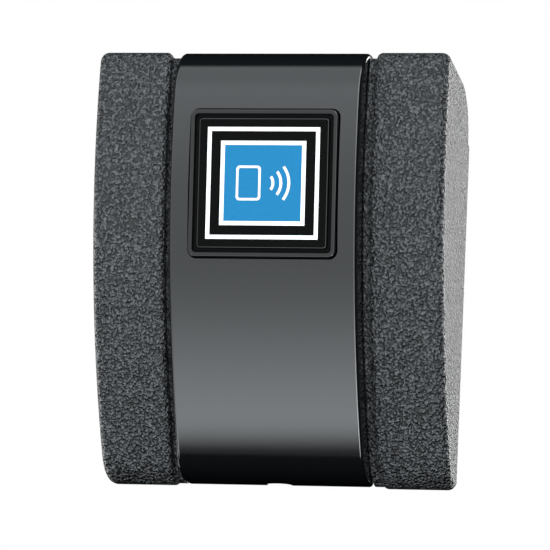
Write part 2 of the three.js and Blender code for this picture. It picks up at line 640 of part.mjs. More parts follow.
const coilRear = BOARD_FRONT + 0.1;
const flangeInset = COIL.wall + COIL.flange;
const flangeWidth = COIL.width + 2 * COIL.flange;
const flangeHeight = COIL.height + 2 * COIL.flange;
add('aerial_former', geometryOf(join(
  frameRing(COIL.width, COIL.height, COIL.wall, coilRear, coilRear + 5.4),
  frameRing(flangeWidth, flangeHeight, flangeInset, coilRear, coilRear + 0.9),
  frameRing(flangeWidth, flangeHeight, flangeInset, coilRear + 4.5, coilRear + 5.4),
)), finish('#d8d3c4', 0.6));
add('aerial_coil', geometryOf(frameRing(COIL.width + 5, COIL.height + 5, 2.3, coilRear + 1, coilRear + 4.4)),
  finish('#b06a34', 0.35, 1));

// ---- Terminal block for the building's cable -------------------------------
const terminalRear = BOARD_REAR - TERMINALS.depth;
const terminalX = (i) => TERMINALS.x + (i - (TERMINALS.ways - 1) / 2) * TERMINALS.pitch;
function terminalBlock() {
  const body = solid(block(TERMINALS.x - terminalWidth / 2, TERMINALS.x + terminalWidth / 2,
    terminalRear, BOARD_REAR - 0.05, TERMINALS.z - TERMINALS.height / 2, TERMINALS.z + TERMINALS.height / 2));
  const cuts = [];
  for (let i = 0; i < TERMINALS.ways; i += 1) {
    cuts.push(solid(rod(terminalX(i), TERMINALS.z + 1.2, 1.3, terminalRear - 1, terminalRear + 3.2, 14)));
    cuts.push(solid(block(terminalX(i) - 1, terminalX(i) + 1, terminalRear + 0.9, terminalRear + 3.1,
      TERMINALS.z - 6, TERMINALS.z - 0.6)));
  }
  return cut(body, ...cuts);
}

add('terminal_block', geometryOf(terminalBlock()), finish('#2c7a4a', 0.5));
for (let i = 0; i < TERMINALS.ways; i += 1) {
  const screw = add(`terminal_screw_${i + 1}`, panScrew(1.15, 0.8, 1, 2.4), zincSteel());
  screw.rotation.x = Math.PI;
  screw.position.set(terminalX(i), -(terminalRear + 0.5), TERMINALS.z + 1.2);
}

// ---- Tamper switch: its plunger rests on the mounting plate ----------------
add('tamper_switch', geometryOf(cut(
  solid(block(TAMPER.x - 4, TAMPER.x + 4, COVER_FRONT + 0.3, BOARD_REAR - 0.05, TAMPER.z - 3, TAMPER.z + 3)),
  solid(rod(TAMPER.x, TAMPER.z, TAMPER.radius + 0.06, COVER_FRONT - 1, BOARD_REAR - 0.4)),
)), finish('#7a2020', 0.5));

function plunger() {
  const length = BOARD_REAR - 0.5 - (REAR + PLATE_THICKNESS + 0.06);
  const r = TAMPER.radius;
  const profile = [[0, 0], [r * 0.6, 0.15], [r, 0.8], [r, length], [0, length]]
    .map(([x, y]) => new THREE.Vector2(x, y));
  return new THREE.LatheGeometry(profile, 18);
}

const tamperPlunger = add('tamper_plunger', plunger(), finish('#e8e6df', 0.4));
tamperPlunger.rotation.x = Math.PI;
tamperPlunger.position.set(TAMPER.x, -(REAR + PLATE_THICKNESS + 0.06), TAMPER.z);

// ---- Locking screw and its captive washer, under the bottom edge -----------
const WASHER = { bottom: CLAMP_PAD.bottom - 0.6, top: CLAMP_PAD.bottom - 0.2, radius: 2.85 };
add('locking_washer', geometryOf(cut(
  solid(uprightRod(0, LOCK_DEPTH, WASHER.radius, WASHER.bottom, WASHER.top, 24)),
  solid(uprightRod(0, LOCK_DEPTH, LOCK_SHANK_RADIUS + 0.1, WASHER.bottom - 1, WASHER.top + 1, 24)),
)), zincSteel());

const lockingScrew = add('locking_screw', panScrew(LOCK_HEAD_RADIUS, LOCK_SHANK_RADIUS, 1.3, 7.6), zincSteel());
lockingScrew.rotation.x = Math.PI / 2;
lockingScrew.position.set(0, -LOCK_DEPTH, WASHER.bottom - 0.05 - 1.3);

export default reader;
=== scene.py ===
# %% [markdown]
# # An rfid card reader, modelled and finished in Blender
# The reader hangs on a wall. Two grained wings flank a smooth centre panel, and a square badge
# marks the place where a card is held up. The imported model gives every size. This lesson models
# the pieces that the eye meets first once more, with smooth curves, and gives each piece a
# finish made of nodes.

# %% Load the fixed frame
import json
import math

import bpy
from mathutils import Matrix, Vector


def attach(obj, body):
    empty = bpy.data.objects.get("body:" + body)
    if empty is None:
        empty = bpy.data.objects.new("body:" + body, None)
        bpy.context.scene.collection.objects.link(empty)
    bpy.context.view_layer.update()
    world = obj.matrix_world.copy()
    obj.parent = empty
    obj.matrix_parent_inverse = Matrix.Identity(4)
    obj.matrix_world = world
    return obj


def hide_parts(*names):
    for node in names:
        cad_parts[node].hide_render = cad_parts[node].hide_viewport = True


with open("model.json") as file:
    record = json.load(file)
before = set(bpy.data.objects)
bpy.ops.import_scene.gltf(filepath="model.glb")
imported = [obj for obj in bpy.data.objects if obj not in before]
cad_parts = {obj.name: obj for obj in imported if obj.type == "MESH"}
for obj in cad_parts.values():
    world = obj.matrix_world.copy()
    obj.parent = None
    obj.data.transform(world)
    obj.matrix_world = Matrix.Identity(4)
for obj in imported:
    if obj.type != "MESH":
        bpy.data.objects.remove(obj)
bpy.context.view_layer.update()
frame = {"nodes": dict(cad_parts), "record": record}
print("pieces in the frame:", len(frame["nodes"]))

# %% [markdown]
# ## The sizes that the new pieces share
# Depth is measured from the wall toward the user, so it runs along -Y. Height runs along +Z from
# the middle of the reader. The sizes are in millimetres, as a maker would write them, and a small
# helper turns them into Blender's metres.

# %% Sizes in millimetres and the helper for places
MM = 0.001
HALF_WIDTH = 44.4
HALF_HEIGHT = 52.8
REAR = 1.0
WING_DEPTH = 34.0
FRONT_RADIUS = 151.0
FRONT_HIGH_POINT = 31.0
TOP_SLOPE = math.radians(9)
WALL = 2.4
CHANNEL_HALF_WIDTH = 26.0
PANEL_HALF_WIDTH = 23.7
PANEL_PROUD = 4.3
LOCK_DEPTH = 3.9


def at(x, depth, height):
    """A place given across, out from the wall and up, in metres."""
    return Vector((x * MM, -depth * MM, height * MM))


print("front arc is centred", round(FRONT_RADIUS - WING_DEPTH, 1), "mm behind the wall plane")

# %% [markdown]
# ## Three habits of the modelling helpers
# Loading the frame leaves its pieces selected, and an operator acts on all that is selected. So
# everything is deselected before a primitive is added. A block is a cube at its size and place.
# Cutting and joining are Boolean modifiers that are applied at once, and the tool is thrown away.

# %% Helpers: a clean start, blocks, rods, cutting and joining
def deselect():
    if bpy.context.object and bpy.context.object.mode != "OBJECT":
        bpy.ops.object.mode_set(mode="OBJECT")
    bpy.ops.object.select_all(action="DESELECT")


def only(piece):
    deselect()
    piece.select_set(True)
    bpy.context.view_layer.objects.active = piece
    return piece


def settle(piece):
    """Applies the place, turn and size, so that the object sits at the origin."""
    only(piece)
    bpy.ops.object.transform_apply(location=True, rotation=True, scale=True)
    return piece


def block(name, x, depth, height):
    low = at(x[0], depth[0], height[0])
    high = at(x[1], depth[1], height[1])
    deselect()
    bpy.ops.mesh.primitive_cube_add(size=1, location=(low + high) / 2)
    piece = bpy.context.object
    piece.name = name
    piece.scale = [abs(v) for v in high - low]
    return settle(piece)


def rod(name, place, radius, length, axis="Y"):
    turns = {"Y": (math.pi / 2, 0, 0), "Z": (0, 0, 0)}
    deselect()
    bpy.ops.mesh.primitive_cylinder_add(
        vertices=48, radius=radius * MM, depth=length * MM, location=place, rotation=turns[axis])
    piece = bpy.context.object
    piece.name = name
    return settle(piece)


def combine(body, tool, operation):
    only(body)
    bpy.ops.object.modifier_add(type="BOOLEAN")
    step = body.modifiers[-1]
    step.operation = operation
    step.object = tool
    step.solver = "EXACT"
    bpy.ops.object.modifier_apply(modifier=step.name)
    bpy.data.objects.remove(tool, do_unlink=True)
    return body


def cut(body, *tools):
    for tool in tools:
        combine(body, tool, "DIFFERENCE")
    return body


def join(body, *tools):
    for tool in tools:
        combine(body, tool, "UNION")
    return body


def report(piece):
    print(piece.name, "has", len(piece.data.vertices), "corners and", len(piece.data.polygons), "faces")
    return piece


# %% [markdown]
# ## Drawing the side outline
# Seen from the side, every shell of this reader is the same figure: a flat foot, a rounded lower
# front, one long arc, a rounded upper front, a top that falls toward the wall and a large rounded
# rear corner. It could be typed in as a list of corners. Drawing it as by hand is clearer: one
# vertex is extruded along the straight stretches and spun about a centre for each arc.

# %% Where the arcs of a side outline sit
def side_figure(front, top, bottom, top_front, top_rear, bottom_front, low_rear=REAR, rear=REAR):
    centre = Vector((WING_DEPTH - FRONT_RADIUS, FRONT_HIGH_POINT))
    radius = FRONT_RADIUS + front
    foot = -HALF_HEIGHT - bottom
    low = Vector((0, foot + bottom_front))
    low.x = centre.x + math.sqrt((radius - bottom_front) ** 2 - (low.y - centre.y) ** 2)
    slope = Vector((math.cos(TOP_SLOPE), math.sin(TOP_SLOPE)))
    upward = Vector((-slope.y, slope.x))
    start = Vector((WING_DEPTH, HALF_HEIGHT)) + upward * (top - top_front)
    away = start - centre
    along = away.dot(slope)
    high = start + slope * (math.sqrt(along ** 2 + (radius - top_front) ** 2 - away.length_squared) - along)
    back_depth = rear + top_rear
    back_height = HALF_HEIGHT + (top - top_rear) / slope.x + (back_depth - WING_DEPTH) * math.tan(TOP_SLOPE)
    low_angle = math.atan2(low.y - centre.y, low.x - centre.x)
    high_angle = math.atan2(high.y - centre.y, high.x - centre.x)
    top_angle = math.pi / 2 + TOP_SLOPE
    return {
        "start": Vector((low_rear, foot)),
        "arcs": [
            (low, bottom_front, -math.pi / 2, low_angle, 14),
            (centre, radius, low_angle, high_angle, 40),
            (high, top_front, high_angle, top_angle, 12),
            (Vector((back_depth, back_height)), top_rear, top_angle, math.pi, 16),
        ],
        "rear": (rear, low_rear),
    }


# %% Drawing the outline and sweeping it across the reader
def sweep_side(name, x0, x1, figure):
    """Draws the outline at x0 and extrudes the filled face to x1."""
    spot = figure["start"]
    deselect()
    bpy.ops.mesh.primitive_plane_add(size=MM, location=at(x0, spot.x, spot.y))
    piece = bpy.context.object
    piece.name = name
    bpy.ops.object.mode_set(mode="EDIT")
    bpy.ops.mesh.select_mode(type="VERT")
    bpy.ops.mesh.select_all(action="SELECT")
    bpy.ops.mesh.merge(type="CENTER")
    for centre, radius, begin, end, steps in figure["arcs"]:
        first = centre + Vector((math.cos(begin), math.sin(begin))) * radius
        if (first - spot).length > 1e-4:
            bpy.ops.mesh.extrude_region_move(
                TRANSFORM_OT_translate={"value": at(0, first.x, first.y) - at(0, spot.x, spot.y)})
        bpy.ops.mesh.spin(
            steps=steps, angle=end - begin, center=at(x0, centre.x, centre.y), axis=(1, 0, 0))
        spot = centre + Vector((math.cos(end), math.sin(end))) * radius
    rear, low_rear = figure["rear"]
    if low_rear != rear:
        bpy.ops.mesh.extrude_region_move(
            TRANSFORM_OT_translate={"value": at(0, low_rear, 0) - at(0, rear, 0)})
    bpy.ops.mesh.select_all(action="SELECT")
    bpy.ops.mesh.remove_doubles(threshold=1e-7)
    bpy.ops.mesh.edge_face_add()
    bpy.ops.mesh.extrude_region_move(TRANSFORM_OT_translate={"value": ((x1 - x0) * MM, 0, 0)})
    bpy.ops.mesh.select_all(action="SELECT")
    bpy.ops.mesh.normals_make_consistent(inside=False)
    return settle(piece)


def pick_edges(piece, wanted):
    """Opens the piece in edit mode with only those edges selected whose two ends pass the test."""
    only(piece)
    bpy.context.tool_settings.mesh_select_mode = (False, True, False)
    for part in (*piece.data.vertices, *piece.data.edges, *piece.data.polygons):
        part.select = False
    for edge in piece.data.edges:
        edge.select = wanted(*(piece.data.vertices[i].co / MM for i in edge.vertices))
    bpy.ops.object.mode_set(mode="EDIT")


def round_edges(piece, wanted, radius, segments):
    pick_edges(piece, wanted)
    bpy.ops.mesh.bevel(
        offset=radius * MM, segments=segments, profile=0.5, affect="EDGES", clamp_overlap=False)
    bpy.ops.object.mode_set(mode="OBJECT")
    return piece


def round_end(piece, x, radius, segments):
    """Rounds the rim of the end that lies in the plane at x."""
    return round_edges(piece, lambda a, b: abs(a.x - x) + abs(b.x - x) < 1e-3, radius, segments)


SMOOTH_BELOW = math.radians(32)


def soften(piece):
    """Smooth shading up to an angle, with flat faces kept flat by weighted normals."""
    only(piece)
    bpy.ops.object.shade_smooth_by_angle(angle=SMOOTH_BELOW)
    bpy.ops.object.modifier_add(type="WEIGHTED_NORMAL")
    step = piece.modifiers[-1]
    step.keep_sharp = True
    bpy.ops.object.modifier_apply(modifier=step.name)
    return piece


# %% [markdown]
# ## The front housing
# On the real reader this is one moulding: two grained wings joined by the sunken floor of the
# channel that carries the centre panel. Each wing is the side outline swept across, with its ends
# rounded, and then trimmed flat where it meets the wall. The hollow is cut out afterwards, so the
# wall keeps one thickness.

# %% One wing, and its twin on the other side
OUTER_EDGE = 2.2
INNER_EDGE = 1.4
WING = {"front": 0, "top": 0, "bottom": 0, "top_front": 2.7, "top_rear": 13.9, "bottom_front": 11.5}
CHANNEL = {"front": -3.5, "top": -1.4, "bottom": -2, "top_front": 6, "top_rear": 12.5, "bottom_front": 8}
RAIL = {"front": -2.8, "top": -0.5, "bottom": -0.5, "top_front": 2.5, "top_rear": 13.4, "bottom_front": 7}
RAIL_ENDS = (24, CHANNEL_HALF_WIDTH + INNER_EDGE)
CHANNEL_END = CHANNEL_HALF_WIDTH + INNER_EDGE + 0.1
SLOT_SHANK = 1.8
SLOT_HEAD = 3.2
SLOT_FOOT = -58
SLOT_STEP = -49.4
SLOT_TOP = -44


def wing(side):
    inner = side * CHANNEL_HALF_WIDTH
    outer = side * HALF_WIDTH
    figure = side_figure(**WING, low_rear=REAR - 4)
    shell = sweep_side("wing", min(inner, outer), max(inner, outer), figure)
    round_end(shell, outer, OUTER_EDGE, 8)
    round_end(shell, inner, INNER_EDGE, 6)
    return cut(shell, block("behind_the_rim", (-60, 60), (-10, REAR), (-70, 70)))


def lock_slot():
    """The way in for the locking screw: open to the wall, so the reader swings clear of it."""
    ways = []
    for name, radius, top in (("shank", SLOT_SHANK, SLOT_TOP), ("head", SLOT_HEAD, SLOT_STEP)):
        way = block(name + "_way", (-radius, radius), (-1, LOCK_DEPTH), (SLOT_FOOT, top))
        middle = at(0, LOCK_DEPTH, (SLOT_FOOT + top) / 2)
        ways.append(join(way, rod(name + "_round", middle, radius, top - SLOT_FOOT, "Z")))
    return join(*ways)


housing = wing(1)
left_wing = wing(-1)
core = sweep_side("channel_floor", -CHANNEL_END, CHANNEL_END, side_figure(**CHANNEL))
rails = []
for side in (1, -1):
    left_end, right_end = sorted(side * end for end in RAIL_ENDS)
    rails.append(sweep_side("rail", left_end, right_end, side_figure(**RAIL)))
housing = join(housing, core, left_wing, *rails)
housing.name = "grained_housing"
report(housing)

# %% [markdown]
# ## Hollowing the housing
# The inside follows the outside at one wall thickness. The middle is hollowed behind the channel
# floor and each wing is hollowed by a smaller side outline. A ledge is left all round for the rear
# cover, four bosses for its screws, and a thick pad at the foot for the locking screw.

# %% The hollow, and what it leaves standing
SIDE_INSIDE = HALF_WIDTH - WALL
OPEN_REAR = {"low_rear": -REAR, "rear": REAR + WALL}
MIDDLE_HOLLOW = {
    "front": -5.9, "top": -3.8, "bottom": -4.4, "top_front": 4, "top_rear": 11.5, "bottom_front": 2}
WING_HOLLOW = {
    "front": -WALL, "top": -WALL, "bottom": -WALL, "top_front": 1, "top_rear": 11.5, "bottom_front": 7}
hollow = sweep_side("hollow", -SIDE_INSIDE, SIDE_INSIDE, side_figure(**MIDDLE_HOLLOW, **OPEN_REAR))
wing_hollow = side_figure(**WING_HOLLOW, **OPEN_REAR)
hollow = join(
    hollow,
    sweep_side("left_hollow", -SIDE_INSIDE + 0.2, -CHANNEL_HALF_WIDTH - WALL, wing_hollow),
    sweep_side("right_hollow", CHANNEL_HALF_WIDTH + WALL, SIDE_INSIDE - 0.2, wing_hollow),
    block("mouth", (-41.5, 41.5), (-1, REAR + WALL + 0.7), (-49, 36)),
    block("tab_relief", (-7, 7), (0, 7), (-47.9, -43)),
)
ledge = cut(block("ledge", (-60, 60), (9.4, 10.8), (-70, 70)),
            block("ledge_mouth", (-39.6, 39.6), (9, 11.2), (-37.8, 33.2)))
hollow = cut(hollow, ledge, block("clamp_pad", (-8, 8), (-2, 7.4), (-70, -47.4)))
BOARD_FRONT = 12.6
BOSS_RADIUS = 3
PILOT_RADIUS = 1.35
PILOT_REAR = 11
SCREW_PLACES = [(-33, 29.5), (33, 29.5), (-33, -27), (33, -27)]
for x, z in SCREW_PLACES:
    boss = rod("boss", at(x, (BOARD_FRONT + 50.1) / 2, z), BOSS_RADIUS, 49.9 - BOARD_FRONT)
    hollow = cut(hollow, boss)
housing = cut(housing, hollow, lock_slot(), block("light_hole", (-10.5, 10.5), (20, 40), (7.5, 28.5)))
for x, z in SCREW_PLACES:
    tip = 26 if z > 0 else 17.8
    pilot = rod("pilot", at(x, (tip + PILOT_REAR) / 2, z), PILOT_RADIUS, tip - PILOT_REAR)
    housing = cut(housing, pilot)
report(soften(housing))

# %% [markdown]
# ## The centre panel
# A thin hollow moulding that stands proud of the wings and rolls over the top and the foot of the
# reader. Its long edges carry a small round, which is what catches the light as two fine lines.
# The same outline is swept, its ends are rounded, and then the inside, the channel floor, the
# badge pocket and the screw slot are cut away.

# %% Where the badge sits: its own small frame on the panel's front
BADGE_TILT = math.radians(-4.8)
badge_centre = at(
    0,
    WING_DEPTH - FRONT_RADIUS + (FRONT_RADIUS + PANEL_PROUD) * math.cos(BADGE_TILT),
    FRONT_HIGH_POINT + (FRONT_RADIUS + PANEL_PROUD) * math.sin(BADGE_TILT))


def set_on_panel(piece):
    """Turns a piece drawn flat at the origin to lie on the panel, facing out."""
    piece.rotation_euler = (math.pi / 2 - BADGE_TILT, 0, 0)
    piece.location = badge_centre
    return settle(piece)


def rounded_slab(name, width, height, corner, low, high):
    """A flat slab with rounded corners, from low to high in front of the panel's surface."""
    deselect()
    bpy.ops.mesh.primitive_cube_add(size=1, location=(0, 0, (low + high) / 2 * MM))
    piece = bpy.context.object
    piece.name = name
    piece.scale = (width * MM, height * MM, (high - low) * MM)
    settle(piece)
    return round_edges(piece, lambda a, b: abs(a.z - b.z) > 1e-3, corner, 8)


PANEL_EDGE = 1
PANEL_SKIN = 2.2
PANEL = {
    "front": PANEL_PROUD, "top": 1.235, "bottom": -0.2, "top_front": 12, "top_rear": 13.9, "bottom_front": 12}
PANEL_INSIDE = {
    "front": PANEL_PROUD - PANEL_SKIN, "top": -0.95, "bottom": -2.4,
    "top_front": 9.8, "top_rear": 11.7, "bottom_front": 9.8}
CHANNEL_ROOM = {**CHANNEL, "front": -3.2, "top": -1.1, "bottom": -1.7}
panel = sweep_side("gloss_panel", -PANEL_HALF_WIDTH, PANEL_HALF_WIDTH, side_figure(**PANEL))
for x in (PANEL_HALF_WIDTH, -PANEL_HALF_WIDTH):
    round_end(panel, x, PANEL_EDGE, 7)
inside_half_width = PANEL_HALF_WIDTH - PANEL_SKIN
inside = sweep_side("panel_inside", -inside_half_width, inside_half_width, side_figure(**PANEL_INSIDE))
channel = sweep_side("channel_room", -40, 40, side_figure(**CHANNEL_ROOM))
panel = cut(panel, inside, channel, block("panel_rear", (-40, 40), (-2, 3), (-70, 70)),
            set_on_panel(rounded_slab("badge_pocket", 37.8, 37.2, 2.2, -6, 6)), lock_slot())
report(soften(panel))

# %% [markdown]
# ## The badge
# A polished black frame with a raised rim and a moat round a printed plate. The print is black
# with two white squares and a blue field. The plate is drawn from the middle outwards: one
# rectangle in the blue field's size, whose rim is extruded and enlarged ring by ring, so that each
# colour is bounded by real edges and stays crisp from close by.

# %% The black frame round the badge
BEZEL = (37.2, 36.6)
SEAT = -0.5


def round_rim(piece, height, radius, segments=5):
    return round_edges(piece, lambda a, b: abs(a.z - height) + abs(b.z - height) < 1e-3, radius, segments)


bezel = round_rim(rounded_slab("badge_frame", *BEZEL, 1.9, -7, 0.6), 0.6, 0.45)
moat = rounded_slab("moat", BEZEL[0] - 2.2, BEZEL[1] - 2.2, 1, SEAT, 3)
under = rounded_slab("under", BEZEL[0] - 4, BEZEL[1] - 4, 1, -9, SEAT - 1.2)
window = rounded_slab("window", 21, 21, 1, -9, 3)
bezel = cut(bezel, moat, under, window)
report(soften(set_on_panel(bezel)))

# %% The printed plate, ring by ring
PLATE = (32.8, 32.2)
RINGS = [("blue", 6.7), ("white", 5.67), ("black", 3.27), ("white", 2.27), ("black", 0)]
PLATE_FRONT = 0.5
deselect()
bpy.ops.mesh.primitive_plane_add(size=1, location=(0, 0, PLATE_FRONT * MM))
plate = bpy.context.object
plate.name = "printed_plate"
plate.scale = ((PLATE[0] - 2 * RINGS[0][1]) * MM, (PLATE[1] - 2 * RINGS[0][1]) * MM, 1)
settle(plate)
only(plate)
bpy.ops.object.mode_set(mode="EDIT")
bpy.ops.mesh.select_all(action="SELECT")
bpy.ops.mesh.select_mode(type="EDGE")
for (_, inner), (_, outer) in zip(RINGS, RINGS[1:]):
    bpy.ops.mesh.extrude_edges_move(TRANSFORM_OT_translate={"value": (0, 0, 0)})
    grow = [(PLATE[i] - 2 * outer) / (PLATE[i] - 2 * inner) for i in (0, 1)]
    bpy.ops.transform.resize(value=(*grow, 1), center_override=(0, 0, PLATE_FRONT * MM))
bpy.ops.mesh.extrude_edges_move(TRANSFORM_OT_translate={"value": (0, 0, -0.95 * MM)})
bpy.ops.mesh.edge_face_add()
bpy.ops.mesh.select_all(action="SELECT")
bpy.ops.mesh.normals_make_consistent(inside=False)
bpy.ops.object.mode_set(mode="OBJECT")
report(plate)

# %% Rounding the plate and laying it into the frame
PLATE_CORNER = 1
PLATE_EDGE = 0.3
CORNER_REACH = 22.2
half_plate = (PLATE[0] / 2, PLATE[1] / 2)


def at_a_corner(a, b):
    return abs(a.z - b.z) > 1e-3 and abs(abs(a.x) - half_plate[0]) < 1e-3


def on_front_rim(a, b):
    if abs(a.z + b.z - 2 * PLATE_FRONT) >= 1e-3:
        return False
    across = min(abs(a.x), abs(b.x)) / half_plate[0]
    upright = min(abs(a.y), abs(b.y)) / half_plate[1]
    return max(across, upright) > 0.999 or min(a.xy.length, b.xy.length) > CORNER_REACH


round_edges(plate, at_a_corner, PLATE_CORNER, 8)
round_edges(plate, on_front_rim, PLATE_EDGE, 4)
ring_of_face = []
for face in plate.data.polygons:
    reach = max(abs(face.center.x) / MM - PLATE[0] / 2, abs(face.center.y) / MM - PLATE[1] / 2)
    on_front = face.center.z > (PLATE_FRONT - 0.01) * MM
    colour = next((name for name, inner in RINGS if -reach > inner), "black")
    ring_of_face.append(colour if on_front else "black")
print("faces by print colour:", {name: ring_of_face.count(name) for name in set(ring_of_face)})
report(soften(set_on_panel(plate)))

# %% [markdown]
# ## The mark on the blue field
# A plain sign fills the blue field: a card outline and three arcs for the radio field, cut from
# thin foil. The card is a rounded slab with a smaller one cut
# out, and each arc is a small bar's end face spun about one centre.

# %% The card outline
FOIL = (PLATE_FRONT + 0.005, PLATE_FRONT + 0.055)
card = cut(rounded_slab("mark_of_card_and_waves", 6.2, 8.6, 0.9, *FOIL),
           rounded_slab("card_middle", 5, 7.4, 0.5, PLATE_FRONT - 1, PLATE_FRONT + 1))
only(card)
bpy.ops.object.mode_set(mode="EDIT")
bpy.ops.mesh.select_all(action="SELECT")
bpy.ops.transform.translate(value=(-3.6 * MM, 0, 0))
bpy.ops.object.mode_set(mode="OBJECT")


# %% The three arcs
def foil_arc(radius, spread):
    """A bar's face stood at the arc's upper end and spun down to its lower end."""
    deselect()
    middle = (FOIL[0] + FOIL[1]) / 2
    bpy.ops.mesh.primitive_plane_add(
        size=1, location=(radius * MM, 0, middle * MM), rotation=(math.pi / 2, 0, 0))
    arc = bpy.context.object
    arc.name = "arc"
    arc.scale = (0.7 * MM, (FOIL[1] - FOIL[0]) * MM, 1)
    settle(arc)
    arc.rotation_euler = (0, 0, spread)
    settle(arc)
    bpy.ops.object.mode_set(mode="EDIT")
    bpy.ops.mesh.select_all(action="SELECT")
    bpy.ops.mesh.spin(steps=16, angle=2 * spread, center=(0, 0, 0), axis=(0, 0, 1))
    bpy.ops.mesh.select_all(action="SELECT")
    bpy.ops.mesh.normals_make_consistent(inside=False)
    bpy.ops.object.mode_set(mode="OBJECT")
    return arc


arcs = [foil_arc(radius, math.radians(38)) for radius in (2.6, 4.6, 6.6)]
only(card)
for arc in arcs:
    arc.select_set(True)
bpy.ops.object.join()
report(soften(set_on_panel(card)))

# %% [markdown]
# ## Effects that several finishes share
# Moulded grain, fine mottle and handling wear are each built once as a node group and placed in
# every material that needs them, with its own values. They read Object coordinates, so a pattern
# keeps its real size in metres. A group gives out heights and masks only; the shader stays in the
# material itself.

# %% Node groups: how they are built
def node_group(name, inputs, outputs):
    group = bpy.data.node_groups.new(name, "ShaderNodeTree")
    for label, kind, value in inputs:
        socket = group.interface.new_socket(label, in_out="INPUT", socket_type=kind)
        if value is not None:
            socket.default_value = value
    for label in outputs:
        group.interface.new_socket(label, in_out="OUTPUT", socket_type="NodeSocketFloat")
    return group, group.nodes.new("NodeGroupInput"), group.nodes.new("NodeGroupOutput")


def noise(tree, place, scale, detail=2.0, roughness=0.5):
    node = tree.nodes.new("ShaderNodeTexNoise")
    node.inputs["Detail"].default_value = detail
    node.inputs["Roughness"].default_value = roughness
    tree.links.new(place, node.inputs["Vector"])
    if isinstance(scale, (int, float)):
        node.inputs["Scale"].default_value = scale
    else:
        tree.links.new(scale, node.inputs["Scale"])
    return node.outputs["Fac"]


def sums(tree, operation, first, second):
    node = tree.nodes.new("ShaderNodeMath")
    node.operation = operation
    for socket, value in zip(node.inputs, (first, second)):
        if isinstance(value, (int, float)):
            socket.default_value = value
        else:
            tree.links.new(value, socket)
    return node.outputs[0]


def spread(tree, value, low, high, to_low=0.0, to_high=1.0):
    node = tree.nodes.new("ShaderNodeMapRange")
    node.clamp = True
    tree.links.new(value, node.inputs["Value"])
    for label, number in (("From Min", low), ("From Max", high), ("To Min", to_low), ("To Max", to_high)):
        node.inputs[label].default_value = number
    return node.outputs["Result"]


# %% The pebble grain of the wings
def build_pebble_grain():
    group, given, out = node_group(
        "pebble_grain",
        [("Place", "NodeSocketVector", None), ("Cells per metre", "NodeSocketFloat", 1100.0)],
        ["Height", "Painted valley shade"])
    wander = group.nodes.new("ShaderNodeTexNoise")
    wander.inputs["Scale"].default_value = 700.0
    wander.inputs["Detail"].default_value = 1.0
    group.links.new(given.outputs["Place"], wander.inputs["Vector"])
    drift = group.nodes.new("ShaderNodeVectorMath")
    drift.operation = "SCALE"
    drift.inputs["Scale"].default_value = 0.0009
    group.links.new(wander.outputs["Color"], drift.inputs[0])
    moved = group.nodes.new("ShaderNodeVectorMath")
    moved.operation = "ADD"
    group.links.new(given.outputs["Place"], moved.inputs[0])
    group.links.new(drift.outputs[0], moved.inputs[1])
    cells = group.nodes.new("ShaderNodeTexVoronoi")
    cells.feature = "SMOOTH_F1"
    cells.inputs["Smoothness"].default_value = 0.3
    group.links.new(moved.outputs[0], cells.inputs["Vector"])
    group.links.new(given.outputs["Cells per metre"], cells.inputs["Scale"])
    pebbles = spread(group, cells.outputs["Distance"], 0.1, 0.75, 1.0, 0.0)
    rough = noise(group, moved.outputs[0], given.outputs["Cells per metre"], 2.0, 0.6)
    height = sums(group, "ADD", sums(group, "MULTIPLY", pebbles, 0.55), sums(group, "MULTIPLY", rough, 0.9))
    group.links.new(height, out.inputs["Height"])
    # The second output is a mask of painted shade. The low places of the grain take the dark tone and the
    # crowns the light one, standing in for shade in the valleys and light caught on the crowns.
    group.links.new(spread(group, height, 0.95, 0.55), out.inputs["Painted valley shade"])
    return group


# %% Fine mottle and handling wear
def build_fine_mottle():
    group, given, out = node_group(
        "fine_mottle",
        [("Place", "NodeSocketVector", None), ("Specks per metre", "NodeSocketFloat", 2500.0)],
        ["Height", "Specks"])
    fine = noise(group, given.outputs["Place"], given.outputs["Specks per metre"], 3.0, 0.65)
    group.links.new(fine, out.inputs["Height"])
    group.links.new(spread(group, fine, 0.35, 0.65), out.inputs["Specks"])
    return group


def build_handling_wear():
    """Where edges and fingers have polished or dulled a surface."""
    group, given, out = node_group(
        "handling_wear", [("Place", "NodeSocketVector", None), ("Amount", "NodeSocketFloat", 0.5)],
        ["Edges", "Smears"])
    shape = group.nodes.new("ShaderNodeNewGeometry")
    edges = spread(group, shape.outputs["Pointiness"], 0.52, 0.6)
    broken = spread(group, noise(group, given.outputs["Place"], 500.0, 4.0), 0.4, 0.65)
    worn = sums(group, "MULTIPLY", sums(group, "MULTIPLY", edges, broken), given.outputs["Amount"])
    smears = spread(group, noise(group, given.outputs["Place"], 45.0, 5.0, 0.65), 0.45, 0.75)
    group.links.new(worn, out.inputs["Edges"])
    group.links.new(sums(group, "MULTIPLY", smears, given.outputs["Amount"]), out.inputs["Smears"])
    return group


pebble_grain = build_pebble_grain()
fine_mottle = build_fine_mottle()
handling_wear = build_handling_wear()
print("shared effects:", [group.name for group in bpy.data.node_groups])
